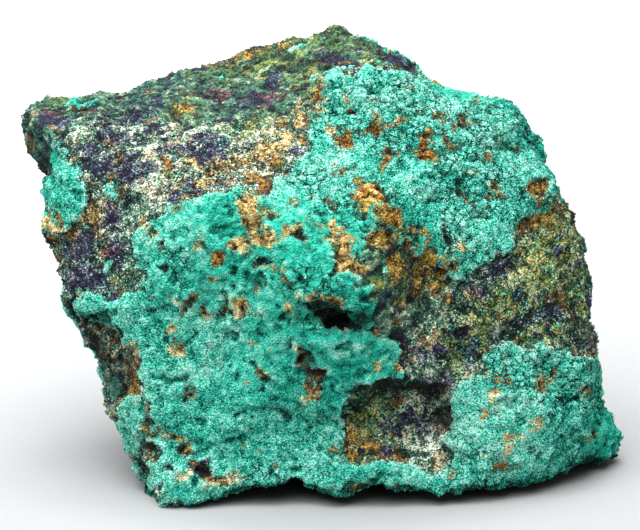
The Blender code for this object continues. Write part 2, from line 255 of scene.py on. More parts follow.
def soft_noise(size, octaves=3, shift=0.0):
    """Smooth noise about 0, with its own pattern for each shift."""
    moved = Vector((shift, -shift, shift))
    return everywhere(lambda p: noise.fractal(p + moved, 1.0, 2.0, octaves), size)


# Where the crust grows, seen face-on: one outline, and islands of it as ovals. Each oval in this
# section is (across, up, half width, half height, turned anticlockwise by degrees)
CRUST_OUTLINE = (
    (-24.5, 19.7), (-24.0, 21.9), (-22.2, 21.9), (-21.3, 21.0), (-20.1, 21.2), (-18.0, 22.1),
    (-17.0, 23.6), (-18.2, 24.3), (-18.7, 26.1), (-18.6, 27.8), (-17.4, 28.9), (-16.0, 29.9),
    (-15.2, 30.9), (-12.4, 31.3), (-10.0, 31.9), (-8.2, 32.7), (-7.0, 31.5), (-5.2, 31.4), (-4.1, 33.4),
    (-2.3, 34.7), (-1.2, 36.2), (-0.8, 37.8), (-0.6, 39.9), (0.1, 42.0), (0.9, 43.2), (2.0, 43.8),
    (4.1, 44.1), (6.0, 44.4), (7.6, 44.2), (9.0, 43.5), (11.4, 43.2), (15.0, 42.8), (19.5, 42.6),
    (24.0, 39.0), (24.6, 34.6), (24.0, 32.6), (23.6, 31.2), (22.0, 30.4), (20.5, 29.3), (19.5, 27.9),
    (19.3, 26.1), (17.8, 25.5), (15.5, 24.1), (14.2, 23.1), (13.0, 23.9), (11.0, 24.9), (9.5, 26.1),
    (8.5, 27.1), (7.2, 27.9), (5.0, 27.6), (3.0, 26.6), (1.5, 24.9), (1.0, 23.6), (2.5, 22.6),
    (5.2, 22.1), (5.8, 20.6), (5.2, 18.9), (4.5, 17.9), (6.5, 17.3), (7.8, 16.9), (8.0, 15.3),
    (8.6, 13.3), (5.5, 13.0), (3.6, 12.1), (2.6, 10.6), (2.2, 9.1), (2.3, 7.1), (2.6, 5.4), (3.8, 4.9),
    (6.9, 4.7), (8.0, 4.9), (9.4, 4.1), (11.6, 3.7), (12.8, 4.3), (13.2, 5.9), (12.0, 7.5), (13.0, 8.6),
    (13.2, 10.6), (13.6, 11.9), (14.4, 13.0), (15.8, 13.6), (16.6, 14.4), (16.2, 15.2), (17.3, 16.3),
    (18.7, 16.7), (20.7, 15.9), (21.9, 16.7), (24.0, 16.2), (26.1, 15.5), (28.5, 15.1), (31.0, 13.0),
    (33.0, 4.0), (28.0, 1.0), (12.0, -2.0), (-17.0, -3.0), (-21.0, 4.0), (-22.5, 8.0), (-20.9, 8.7),
    (-20.1, 9.6), (-19.5, 11.5), (-17.8, 11.3), (-17.4, 12.6), (-18.0, 14.9), (-19.4, 16.6),
    (-20.2, 18.3), (-22.2, 19.4),
)
CRUST_ISLANDS = (
    (-25.6, 31.2, 2.3, 3.2, 0), (-26.2, 35.0, 0.8, 2.4, 5), (-24.0, 41.0, 1.5, 0.4, 8),
    (-27.6, 29.6, 1.2, 1.6, 0), (-20.8, 31.9, 0.4, 0.7, 30), (-21.6, 24.5, 0.5, 0.7, -20),
    (-19.4, 9.2, 0.9, 1.4, 10), (-17.8, 6.8, 0.8, 0.5, 0), (-16.2, 3.5, 1.3, 1.2, 20),
    (-20.8, 12.3, 0.4, 0.8, 10), (21.6, 29.8, 2.6, 0.7, 32), (-14.5, 5.6, 0.9, 0.8, 0),
    (-14.8, 1.1, 0.9, 1.0, 0), (8.0, 27.9, 1.2, 1.4, 0), (5.2, 28.9, 0.6, 0.5, 0),
    (2.5, 25.6, 0.8, 0.5, 0), (9.5, 27.5, 1.0, 1.0, 0), (3.8, 26.5, 0.9, 0.4, 15),
    (2.6, 23.3, 1.3, 0.7, -10), (4.8, 25.6, 0.5, 0.4, 0), (6.6, 24.4, 0.5, 0.9, 10),
)
BARE_ISLANDS = (
    (21.9, 32.3, 1.3, 0.8, 30), (12.6, 27.0, 0.5, 1.2, 10), (-17.6, 5.7, 1.4, 0.8, -20),
    (-13.7, 6.3, 0.6, 0.5, 0), (-11.9, 4.1, 1.2, 0.9, -10), (-15.0, 4.4, 0.6, 0.4, -10),
    (-16.3, 1.7, 0.6, 1.1, -35), (-17.3, 8.7, 0.7, 0.7, 0), (-17.0, 10.2, 0.3, 0.9, -10),
    (5.4, 24.9, 1.3, 0.9, 0), (6.0, 28.8, 0.6, 0.6, 0), (-10.7, 34.6, 0.5, 0.4, 0),
    (-17.3, 6.2, 1.3, 0.9, 0), (-18.6, 4.4, 0.8, 1.6, 30), (-14.6, 0.6, 1.0, 0.4, 10),
    (-0.4, 13.3, 1.0, 1.2, -20), (-1.8, 15.5, 0.5, 0.7, 0), (-7.5, 19.9, 0.5, 0.7, 20),
    (-15.8, 26.5, 0.5, 0.5, 0), (-15.5, 24.3, 0.4, 0.6, 20), (-13.2, 20.6, 0.4, 1.0, -40),
    (-9.8, 3.1, 1.3, 0.5, 10), (2.0, 25.7, 1.0, 0.6, -20), (-2.0, 27.5, 0.7, 0.6, 0),
    (-5.8, 24.9, 1.0, 0.5, 0), (12.0, 21.1, 0.6, 0.8, 0), (2.0, 19.3, 2.0, 0.9, -15),
)
BARE_CORNERS = ((-31.0, 38.5, 2.6, 5.0, 0), (1.4, 49.2, 3.4, 2.2, 0))
RUBBED_END = ((28.9, 7.6, 2.8, 5.4, 0),)
RUSTY_KNOB = ((5.4, 30.3, 1.5, 2.4, 30),)

# What stains and colours the rock and the crust, and where each is dim, deep or pale; the dark spots are
# pits and hollows painted with shade
RUST_SPOTS = (
    (1.4, 6.1, 0.4, 0.5, 0), (12.4, 24.6, 0.7, 0.8, 0), (9.9, 24.4, 0.6, 0.6, 0),
    (5.5, 38.3, 1.0, 0.8, 20), (3.2, 39.9, 0.5, 0.5, 0), (2.5, 37.1, 0.9, 1.0, 60),
    (6.8, 35.2, 1.3, 0.7, 55), (10.5, 35.8, 1.3, 0.9, -30), (12.7, 36.9, 0.9, 0.4, -20),
    (14.2, 38.9, 0.9, 0.4, 10), (15.4, 41.0, 0.4, 0.3, 0), (10.7, 37.4, 0.5, 0.5, 0),
    (16.7, 35.5, 0.5, 0.6, 30), (2.1, 33.9, 0.6, 0.4, 0), (3.8, 33.0, 0.4, 0.3, 0),
    (17.7, 31.5, 0.5, 0.4, 0), (5.2, 30.9, 1.6, 1.8, 0), (7.1, 29.1, 1.5, 1.0, -50),
    (8.6, 27.3, 1.3, 0.6, -58), (10.2, 28.1, 0.9, 0.6, -20), (6.0, 27.2, 1.5, 0.8, 0),
    (7.7, 24.4, 0.6, 1.5, 0), (10.8, 25.3, 0.8, 1.6, 5), (12.0, 23.9, 0.6, 0.8, 0),
    (9.5, 22.6, 0.6, 1.0, 0), (11.3, 22.5, 0.9, 0.7, 0), (12.7, 21.1, 0.5, 0.9, 0),
    (-2.0, 28.5, 0.5, 0.5, 0), (-0.2, 28.6, 0.6, 0.4, 0), (-10.3, 25.3, 1.0, 0.8, 0),
    (-14.5, 30.3, 0.6, 0.3, 10), (-5.8, 32.3, 0.7, 0.6, 0), (-6.5, 33.1, 0.6, 0.5, 0),
    (-8.8, 33.9, 0.4, 0.3, 0), (-13.0, 21.1, 0.9, 0.3, 45), (-11.5, 20.3, 0.3, 0.3, 0),
    (-0.8, 12.5, 0.8, 0.5, -20), (-0.2, 13.6, 0.4, 0.6, 0), (-5.8, 13.3, 0.5, 0.4, 0),
    (-13.3, 11.3, 0.5, 0.7, -20), (-19.0, 13.9, 0.6, 1.2, 10), (-18.5, 16.1, 0.4, 0.6, 0),
    (-19.2, 11.9, 0.5, 0.6, 0), (-17.0, 7.9, 1.2, 0.3, -5), (-14.4, 7.4, 1.0, 0.3, -15),
    (-13.0, 5.9, 0.5, 0.6, 50), (-12.3, 4.5, 0.4, 0.4, 0), (-11.0, 3.6, 0.8, 0.5, 0),
    (2.8, 5.9, 0.6, 0.8, 10), (3.2, 7.5, 0.7, 0.5, -30), (5.0, 6.5, 0.9, 0.6, -20),
    (6.3, 5.3, 0.5, 0.5, 0), (7.9, 5.6, 0.7, 0.4, 0), (23.2, 13.7, 0.7, 0.3, 50),
    (17.5, 13.1, 0.6, 0.4, 0), (18.6, 12.8, 0.4, 0.4, 0), (26.8, 7.5, 0.6, 0.4, 10),
    (26.7, 11.8, 0.4, 0.5, 0), (18.5, 4.4, 0.9, 0.4, -10), (8.0, 2.7, 0.4, 0.4, 0),
    (4.3, 2.4, 0.8, 0.3, 10), (24.0, 21.1, 0.5, 0.7, 0), (25.5, 19.3, 0.4, 0.5, 0),
    (22.2, 29.3, 2.0, 0.8, 12), (21.6, 31.9, 1.2, 0.9, 30), (-3.3, 23.0, 0.3, 0.4, 0),
    (20.2, 28.3, 0.8, 0.5, -30), (24.0, 30.6, 0.8, 0.4, -30), (3.2, 34.1, 0.3, 0.3, 0),
    (8.5, 39.2, 0.4, 0.3, 0), (12.0, 39.3, 0.3, 0.2, 0), (18.0, 36.9, 0.3, 0.3, 0),
    (20.0, 36.1, 0.3, 0.4, 0), (1.0, 30.5, 0.3, 0.3, 0), (-2.5, 30.5, 0.4, 0.3, 0),
    (-26.2, 29.9, 0.5, 0.4, 0), (-25.2, 27.9, 0.7, 0.3, 0), (-26.8, 27.1, 0.5, 0.4, 0),
    (0.0, 42.1, 0.6, 0.9, -20), (-0.8, 39.9, 0.4, 0.6, 0), (-2.0, 37.1, 0.6, 0.5, 0),
    (-4.4, 35.1, 0.6, 0.5, 0), (-15.5, 34.7, 0.5, 0.5, 0), (-7.6, 45.7, 1.9, 0.4, 13),
    (-4.0, 46.5, 1.2, 0.35, 10), (-13.8, 39.9, 0.5, 0.3, 0), (-3.9, 38.8, 0.4, 0.4, 0),
    (15.3, 30.6, 0.4, 0.4, 0), (14.2, 31.7, 0.3, 0.3, 0),
)
TAN_SPOTS = (
    (-11.6, 19.6, 0.4, 0.5, 0), (-3.0, 20.4, 0.4, 0.4, 0), (-5.9, 13.5, 0.6, 0.5, 20),
    (-0.7, 11.4, 0.6, 0.5, 0), (-6.8, 16.6, 0.3, 0.3, 0), (-1.3, 21.6, 0.8, 0.5, 0),
    (5.6, 14.5, 0.5, 0.4, 0), (7.9, 14.5, 0.5, 0.4, 0), (-2.9, 20.4, 0.4, 0.4, 0),
    (-11.0, 23.4, 0.4, 0.4, 0), (-12.4, 26.8, 0.5, 0.3, 0), (-22.6, 30.0, 0.7, 0.8, 0),
    (-17.9, 28.9, 0.4, 0.5, 0), (-17.1, 27.8, 0.4, 0.4, 0), (2.5, 41.1, 0.5, 0.4, 0),
    (5.6, 39.1, 0.5, 0.4, 0), (-6.8, 28.9, 1.2, 1.0, 20), (-8.0, 26.8, 1.4, 0.7, 10),
    (-5.8, 27.3, 1.4, 0.9, 0), (-7.3, 30.6, 1.0, 1.0, 60), (-5.4, 29.6, 0.9, 0.5, 0),
    (-3.0, 27.9, 0.7, 0.5, 0), (2.0, 26.8, 1.2, 0.9, 0), (2.5, 24.9, 1.0, 0.8, 0),
    (4.0, 24.3, 0.8, 0.6, 0), (1.0, 28.3, 0.5, 0.6, 0), (14.3, 26.4, 0.7, 0.5, 0),
    (-4.2, 24.3, 0.7, 0.4, 0), (-14.8, 18.2, 0.5, 0.5, 0), (-8.0, 20.3, 0.8, 0.9, 70),
    (-14.1, 16.1, 0.5, 0.9, 10), (-1.5, 14.9, 0.4, 0.5, 0), (-2.0, 16.1, 0.4, 0.4, 0),
    (-9.8, 19.9, 0.4, 0.3, 0), (22.1, 12.8, 0.7, 0.8, -30), (17.5, 11.7, 0.4, 0.7, 20),
    (19.0, 7.3, 0.8, 0.4, 20), (18.8, 5.9, 0.4, 0.7, 0), (16.7, 9.6, 0.5, 0.4, 0),
    (21.6, 8.6, 0.6, 0.4, 20), (3.2, 8.1, 0.5, 0.3, -30), (-13.0, 11.6, 0.4, 0.4, 0),
    (-13.7, 3.5, 0.6, 0.4, 0), (-9.8, 2.9, 1.6, 0.5, 12), (8.0, 39.1, 0.5, 0.3, 0),
    (1.2, 38.1, 0.4, 0.5, 0), (17.7, 32.3, 0.4, 0.4, 0), (-8.0, 35.1, 1.2, 0.6, 10),
    (-5.5, 36.1, 1.4, 0.7, 15), (-3.5, 37.1, 1.0, 0.6, 20), (-10.5, 34.5, 0.9, 0.5, 0),
    (-13.0, 35.1, 0.8, 0.5, 0), (-11.5, 33.1, 0.7, 0.4, 0), (-7.0, 33.6, 0.8, 0.4, 0),
    (-2.0, 38.9, 0.5, 0.7, -20), (0.2, 40.8, 0.3, 0.9, -20), (-13.5, 39.9, 0.9, 0.4, 10),
    (1.0, 21.1, 1.4, 0.4, -10), (-26.2, 28.6, 0.8, 0.6, 0), (-24.5, 27.9, 0.6, 0.4, 0),
    (-27.5, 28.9, 0.4, 0.6, 0), (-23.5, 29.6, 0.5, 0.4, 0),
)
OLIVE_SPOTS = (
    (23.5, 27.1, 2.6, 3.8, 10), (22.0, 24.6, 3.0, 3.0, 0), (25.5, 22.1, 1.6, 2.6, 0),
    (16.0, 18.1, 2.0, 2.6, 0), (18.5, 21.1, 2.6, 1.8, 0), (13.5, 16.6, 1.4, 2.4, 0),
    (7.5, 24.9, 1.6, 2.8, 0), (5.8, 22.6, 1.6, 1.4, 0), (4.2, 9.1, 2.0, 2.4, 0),
    (5.0, 11.1, 1.8, 1.0, 0), (3.2, 5.6, 1.4, 1.0, 0), (22.0, 18.1, 2.4, 1.2, 0),
    (27.0, 19.1, 0.8, 2.4, 0), (-9.0, 44.1, 2.4, 1.0, 15), (-5.0, 45.1, 3.0, 1.4, 15),
    (1.0, 46.6, 2.4, 1.4, 0), (5.5, 44.9, 2.0, 1.0, -20), (-1.0, 43.1, 1.0, 2.0, -20),
    (-17.0, 4.1, 1.2, 1.2, 0), (-26.0, 41.1, 1.4, 0.5, 5), (4.0, 26.1, 1.4, 1.0, 0),
    (22.5, 31.5, 1.4, 0.5, 10), (-20.6, 23.2, 1.2, 1.3, 0), (5.2, 29.4, 1.8, 1.3, 0),
    (6.0, 27.2, 1.8, 1.2, 0), (-13.8, 39.8, 1.2, 0.7, 0), (20.0, 30.1, 0.8, 0.4, 30),
    (11.0, 24.1, 2.0, 2.6, 0), (-7.0, 38.1, 3.0, 1.0, 10), (-15.0, 33.1, 1.6, 1.0, 0),
)
NAVY_SPOTS = (
    (-11.0, 36.1, 2.0, 1.4, 30), (-13.0, 36.1, 1.4, 0.8, 30), (-20.0, 37.3, 2.6, 0.9, -10),
    (-23.0, 36.1, 1.6, 0.9, 0), (-12.0, 32.4, 2.6, 0.6, 8), (-19.0, 39.3, 3.2, 0.7, 10),
    (-19.0, 34.1, 1.8, 1.4, 0), (22.5, 19.6, 2.2, 0.8, 12), (20.0, 19.1, 1.2, 0.6, 0),
    (15.0, 16.1, 0.8, 2.0, -10), (10.0, 15.6, 1.2, 1.0, 0), (12.0, 12.6, 1.6, 1.0, 0),
    (10.8, 8.6, 1.3, 0.8, 0), (8.5, 9.1, 1.0, 0.7, 0), (3.4, 25.3, 0.9, 0.5, 0),
    (3.0, 24.1, 0.8, 0.4, 0), (-12.0, 37.2, 1.2, 0.6, 40), (6.8, 21.6, 1.2, 0.8, 0),
    (18.0, 24.3, 2.0, 1.0, 20), (16.0, 22.1, 1.2, 0.9, 0), (27.0, 17.1, 0.7, 1.2, 0),
    (24.5, 27.6, 0.8, 0.6, 30), (-22.0, 34.6, 1.8, 1.0, 0), (-24.0, 26.1, 1.8, 1.0, 0),
    (-21.5, 22.6, 1.6, 0.8, 0), (-25.0, 22.6, 0.9, 0.9, 0), (-17.0, 6.1, 0.9, 0.7, 0),
    (-13.5, 6.4, 0.8, 0.5, 0), (-11.7, 4.1, 0.9, 0.8, 0), (-27.5, 39.6, 1.0, 0.9, 0),
    (-10.0, 41.6, 0.9, 0.5, 0), (2.0, 45.1, 2.2, 0.9, -20), (7.5, 45.1, 2.0, 0.7, -25),
    (-17.0, 40.6, 1.6, 0.5, 8), (-6.0, 41.1, 2.2, 0.8, 10), (-13.0, 31.1, 1.0, 0.3, 0),
    (28.0, 21.1, 0.6, 2.0, 0), (-23.6, 23.4, 2.6, 1.3, 15), (-20.6, 25.6, 1.2, 2.4, 0),
    (-26.4, 36.4, 1.0, 1.4, 0), (-20.9, 29.4, 1.2, 1.6, 0), (-22.6, 34.4, 1.4, 1.1, 0),
)
CREAM_SPOTS = (
    (-16.6, 32.6, 1.4, 1.0, -30), (-23.0, 36.0, 1.4, 0.6, 0), (-13.4, 37.2, 1.8, 0.5, 0),
    (-9.5, 35.3, 1.9, 0.7, -5), (-9.3, 36.5, 1.3, 0.6, 0), (-6.5, 34.0, 1.0, 0.6, 0),
    (-21.5, 27.0, 0.6, 0.6, 0), (-22.7, 30.2, 0.7, 0.6, 0), (-11.5, 34.3, 1.4, 0.5, -10),
    (-17.5, 34.8, 1.4, 0.6, 0), (-14.6, 34.4, 1.2, 0.7, 0), (-8.0, 33.9, 0.9, 0.5, 0),
    (-23.4, 33.2, 0.9, 0.6, 0), (-6.0, 37.2, 1.6, 0.5, 15), (-20.0, 38.6, 1.2, 0.4, 0),
    (-16.0, 38.0, 1.4, 0.4, 10), (-24.6, 24.4, 0.8, 0.5, 0), (10.0, 10.6, 0.8, 0.6, 0),
)
MAROON_SPOTS = (
    (-9.9, 41.8, 1.0, 0.5, 0), (-26.8, 39.6, 0.8, 0.5, 0), (-5.0, 41.4, 0.6, 0.3, 0),
    (-21.4, 26.0, 0.6, 0.4, 0),
)
# Pits and hollows under the ledges: sunk a little, and painted near-black as shade
SHADED_PITS = (
    (1.2, 19.3, 2.4, 1.0, -15), (3.7, 18.8, 0.9, 0.5, -15), (-0.8, 20.3, 1.0, 0.6, -10),
    (-1.2, 14.8, 1.0, 1.2, 0), (-0.2, 13.9, 0.8, 0.8, 0), (-3.8, 9.9, 1.0, 0.3, -15),
    (15.4, 30.4, 0.5, 0.4, 0), (14.1, 31.7, 0.4, 0.4, 0), (19.8, 36.2, 0.3, 0.3, 0),
    (-10.7, 34.6, 0.8, 0.4, 0), (-11.5, 19.9, 0.4, 0.5, 30), (-13.2, 21.1, 0.7, 0.3, 45),
    (-23.6, 19.3, 1.6, 0.6, -25), (-22.5, 16.6, 1.0, 1.6, 20), (-20.4, 12.6, 1.0, 1.4, 10),
    (-20.0, 15.1, 0.6, 1.0, 0), (4.0, 12.2, 1.8, 0.5, -3), (8.0, 12.2, 2.4, 0.5, 0),
    (11.8, 12.0, 1.6, 0.6, 0), (12.2, 9.5, 1.0, 1.4, 0), (22.1, 12.3, 0.4, 0.5, 0),
    (-17.0, 5.9, 0.8, 0.6, 0), (-13.6, 6.3, 0.7, 0.5, 0), (-11.6, 4.1, 0.8, 0.8, 0),
    (-2.0, 15.1, 0.5, 0.5, 0), (12.0, 35.9, 0.3, 0.3, 0), (16.5, 30.3, 0.3, 0.3, 0),
    (13.0, 9.1, 0.6, 1.6, 0), (-17.4, 6.3, 1.2, 0.8, 0), (-18.8, 4.4, 0.6, 1.4, 30),
    (-13.9, 16.6, 0.4, 0.5, 0), (-2.2, 19.3, 0.3, 0.5, 0), (-5.4, 12.8, 0.5, 0.3, 0),
    (-3.2, 16.3, 0.25, 0.6, 0), (-1.7, 10.7, 0.4, 0.4, 0), (-13.0, 12.3, 0.4, 0.4, 0),
    (-7.6, 19.9, 0.4, 0.6, 0), (-12.0, 23.0, 0.3, 0.4, 0),
)
DIM_SPOTS = (
    (-22.0, 24.8, 4.4, 4.2, 0), (-21.8, 35.4, 3.4, 2.4, 0), (15.0, 20.2, 4.0, 4.6, 0),
    (19.5, 19.0, 4.6, 2.2, 10), (-21.6, 31.2, 3.0, 3.0, 0), (10.5, 22.0, 2.4, 3.0, 0),
    (-27.0, 36.5, 1.8, 2.4, 0), (24.4, 21.0, 2.4, 4.0, 0), (16.5, 33.5, 5.6, 4.6, -25),
    (11.0, 30.0, 3.6, 2.6, 20), (9.0, 36.0, 2.6, 2.2, 0), (-10.0, 35.4, 6.0, 1.8, 8),
    (-25.6, 31.4, 1.6, 3.4, 0), (-21.4, 15.4, 2.2, 4.2, 15),
)
DEEP_SPOTS = (
    (28.6, 8.4, 2.6, 4.2, 0), (-16.2, 22.3, 2.0, 1.5, 20), (-17.0, 18.1, 1.8, 1.4, 0),
    (-13.5, 16.1, 1.6, 1.2, 0), (-7.5, 30.6, 3.0, 1.0, 15), (-9.8, 28.9, 1.2, 1.2, 0),
    (2.8, 22.6, 1.6, 1.2, 0), (5.2, 21.1, 1.4, 0.8, 0), (-11.0, 11.6, 1.2, 1.1, 0),
    (-15.5, 10.1, 1.6, 1.2, 0), (-5.5, 11.1, 2.6, 1.4, 0), (-2.0, 8.1, 2.6, 1.6, 0),
    (-9.0, 7.1, 3.0, 1.2, 0), (2.5, 14.1, 1.8, 1.4, 0), (1.0, 11.1, 1.4, 2.0, 0),
    (7.5, 13.6, 1.0, 1.2, 0), (20.5, 37.6, 0.8, 1.4, 0), (21.3, 36.1, 0.8, 1.4, 0),
    (17.5, 15.1, 1.0, 0.8, 0), (24.0, 7.1, 2.2, 1.2, 0), (22.0, 14.1, 1.8, 0.8, 0),
    (-2.0, 35.1, 2.0, 1.2, 20), (0.0, 36.6, 1.4, 1.2, 0), (8.5, 38.1, 1.0, 0.6, 0),
    (13.0, 33.1, 2.2, 1.4, 0), (10.0, 29.6, 2.2, 1.4, 0), (6.0, 34.1, 1.4, 1.2, 0),
    (-1.0, 32.1, 1.2, 1.0, 0), (-25.8, 30.1, 1.6, 2.2, 0), (-25.0, 32.6, 1.0, 1.6, 0),
    (-20.8, 31.9, 1.2, 1.2, 0), (3.0, 28.1, 0.9, 0.6, 0), (-17.0, 29.1, 1.4, 0.8, 30),
    (-4.0, 19.1, 0.9, 1.2, 0), (-6.5, 18.1, 0.7, 0.9, 0), (-1.6, 8.2, 0.8, 0.6, 0),
    (-4.4, 6.1, 0.8, 0.6, 0), (-6.8, 7.9, 1.1, 0.7, 0), (-13.4, 9.5, 0.7, 0.8, 0),
    (27.2, 5.2, 2.4, 2.2, 0), (24.6, 10.4, 1.6, 1.8, 0), (-14.2, 8.0, 2.6, 2.0, 0),
    (-8.6, 13.2, 0.8, 0.5, 0), (-10.4, 18.2, 0.6, 0.8, 0), (-3.4, 12.0, 0.7, 0.5, 0),
)
PALE_SPOTS = (
    (-2.0, 33.6, 2.0, 1.0, 15), (0.0, 34.6, 2.2, 1.4, 15), (-3.0, 30.6, 2.0, 0.8, 0),
    (1.0, 32.1, 2.6, 1.0, 0), (15.0, 34.1, 3.0, 1.0, -10), (18.0, 32.6, 2.4, 1.0, 0),
    (12.0, 40.1, 2.6, 1.2, -10), (15.0, 29.6, 2.4, 1.0, 0), (12.5, 32.1, 2.2, 0.8, 0),
    (6.0, 41.1, 2.6, 1.0, 0), (8.0, 42.6, 2.0, 0.8, 0), (16.0, 37.1, 2.6, 1.4, -20),
    (20.5, 34.6, 1.4, 1.0, 0), (4.0, 41.6, 1.4, 0.8, 0), (18.5, 38.6, 1.6, 1.0, -40),
    (2.0, 36.1, 1.4, 1.0, 0), (-9.0, 18.1, 2.6, 1.6, 0), (-6.0, 20.1, 2.2, 1.2, 0),
    (-3.0, 16.6, 1.6, 1.2, 0), (-11.0, 16.6, 1.6, 0.9, 0), (-5.0, 22.1, 2.2, 0.9, 0),
    (-9.0, 22.1, 2.2, 0.7, 0), (15.0, 8.1, 2.6, 1.8, 0), (18.0, 10.6, 2.4, 1.2, 0),
    (20.4, 11.2, 1.6, 0.8, 0), (13.5, 5.6, 1.8, 1.0, 0), (17.0, 6.1, 1.8, 1.0, 0),
    (11.0, 4.1, 1.8, 0.6, 0), (3.0, 16.1, 1.6, 0.9, 0), (20.0, 15.1, 2.2, 0.8, 0),
    (-12.0, 14.1, 2.2, 1.2, 0), (-4.0, 18.1, 1.2, 1.6, 0), (-15.5, 22.6, 1.6, 1.0, 0),
    (-2.0, 21.1, 1.0, 1.0, 0), (12.5, 7.1, 1.2, 1.0, 0), (-17.0, 36.1, 1.4, 0.6, 0),
    (-9.0, 29.6, 1.0, 1.0, 0), (-13.0, 28.6, 1.6, 1.0, 0), (-12.5, 26.4, 2.2, 1.8, 0),
    (4.0, 30.6, 0.6, 1.0, 0), (12.0, 6.6, 0.8, 0.6, 0), (4.6, 23.8, 2.6, 1.8, 0),
    (10.6, 7.2, 2.0, 1.6, 0),
)


def shifted(places, size, amount):
    """Places moved about smoothly, so that what is drawn there gets a natural edge."""
    pushes = [
        [noise.fractal(Vector((x + shift, y - shift, 3.7)), 0.7, 2.2, 3) for x, y in places / size]
        for shift in (0.0, 9.3)
    ]
    return places + np.array(pushes).T * amount


def inside_outline(places, outline):
    """How far places lie inside an outline, in millimetres, and negative outside it."""
    x, y = places.T
    within = np.zeros(len(places), bool)
    nearest = np.full(len(places), 1e9)
    for (x0, y0), (x1, y1) in zip(outline, outline[1:] + outline[:1]):
        if y0 != y1:
            within ^= ((y0 > y) != (y1 > y)) & (x < x0 + (y - y0) * (x1 - x0) / (y1 - y0))
        run, rise = x1 - x0, y1 - y0
        t = np.clip(((x - x0) * run + (y - y0) * rise) / (run ** 2 + rise ** 2), 0, 1)
        nearest = np.minimum(nearest, np.hypot(x - x0 - t * run, y - y0 - t * rise))
    return np.where(within, nearest, -nearest)


def inside_ovals(places, ovals):
    """The same for a group of ovals."""
    x, y = places.T
    depth = np.full(len(places), -3.0)
    for across, up, half_width, half_height, turn in ovals:
        c, s = math.cos(math.radians(turn)), math.sin(math.radians(turn))
        along = ((x - across) * c + (y - up) * s) / half_width
        over = ((y - up) * c - (x - across) * s) / half_height
        depth = np.maximum(depth, (1.0 - np.hypot(along, over)) * min(half_width, half_height))
    return depth


facing = outward(points, triangles)
frontal = smoothstep(-0.08, 0.06, facing[:, 2] + 0.06 * soft_noise(3.0))
nearer = EYE_DISTANCE / (EYE_DISTANCE - points[:, 2])
drawn = np.stack((points[:, 0] * nearer, EYE_LEVEL + (points[:, 1] - EYE_LEVEL) * nearer), axis=1)
strayed = shifted(drawn, 1.6, 0.62)

front_crust = np.maximum(inside_outline(strayed, CRUST_OUTLINE), inside_ovals(strayed, CRUST_ISLANDS))
front_crust = np.minimum(front_crust, -inside_ovals(strayed, BARE_ISLANDS))
back_crust = 6.0 * soft_noise(13.0) + 0.4
crust = np.clip(back_crust + (front_crust - back_crust) * frontal, -3.0, 3.0)
crust = np.minimum(crust, -inside_ovals(strayed, BARE_CORNERS))


def marked(ovals, elsewhere):
    """Face-on marks, and a share of the same kind of marks on the sides and the back."""
    front = inside_ovals(strayed, ovals)
    return np.clip(elsewhere + (front - elsewhere) * frontal, -3.0, 3.0)


rust = marked(RUST_SPOTS, 2.4 * soft_noise(3.4, 3, 5.0) - 0.75)
tan = marked(TAN_SPOTS, 2.0 * soft_noise(2.6, 3, 11.0) - 0.9)
olive = marked(OLIVE_SPOTS, 4.0 * soft_noise(8.0, 3, 17.0) - 0.6)
navy = marked(NAVY_SPOTS, 3.0 * soft_noise(5.0, 3, 23.0) - 0.8)
maroon = marked(MAROON_SPOTS, 2.0 * soft_noise(4.5, 3, 67.0) - 1.5)
dark = marked(SHADED_PITS, 2.0 * soft_noise(4.0, 3, 29.0) - 1.6)
cream = marked(CREAM_SPOTS, 2.4 * soft_noise(3.0, 3, 53.0) - 0.9)
pale = marked(PALE_SPOTS, 4.0 * soft_noise(7.0, 3, 37.0) - 0.4)
dim = marked(DIM_SPOTS, 4.0 * soft_noise(9.0, 3, 59.0) - 0.9)
deep = marked(DEEP_SPOTS, 4.0 * soft_noise(6.0, 3, 43.0) - 0.9)

# The nose and the far top are rubbed smooth; the faces between them and the foot are freshly broken
up, out = points[:, 1], points[:, 2]
worn = np.maximum(smoothstep(-6.5, -12.0, out), 0.8 * smoothstep(4.5, 7.5, out)) * frontal
crisp = smoothstep(5.5, 1.5, out) * np.maximum(smoothstep(-10.0, -5.5, out), smoothstep(22.0, 18.0, up))
crisp *= 1.0 - 0.75 * smoothstep(-0.8, 1.4, inside_ovals(strayed, RUBBED_END))
cracked = smoothstep(-0.12, 0.28, soft_noise(6.0, 2, 3.0) + 0.012 * (points[:, 0] + up - 34.0))

# The fine relief: shallow knobs and pores on the crust, gullies on the rock, a raised edge where the
# crust ends, and hollows where rust has eaten in
KNOB, SMALL_KNOB, SMALL_KNOB_IF_CRACKED = 0.42, 0.28, 0.12
PORE, GULLY, PITTED, GRIT = 0.42, 0.55, 0.55, 0.12
LIP, UNDERCUT = 0.30, 0.18
EATEN_IN, CRUMBLY = 0.16, 0.14
RUSTY_KNOB_HEIGHT, SWELL = 0.9, 0.28
on_crust = smoothstep(-0.2, 0.2, crust)
on_rock = 1.0 - on_crust


def billows(size, octaves, shift):
    """Rounded lumps of all sizes with creases between them, from 0 in a crease upwards."""
    return np.abs(soft_noise(size, octaves, shift))


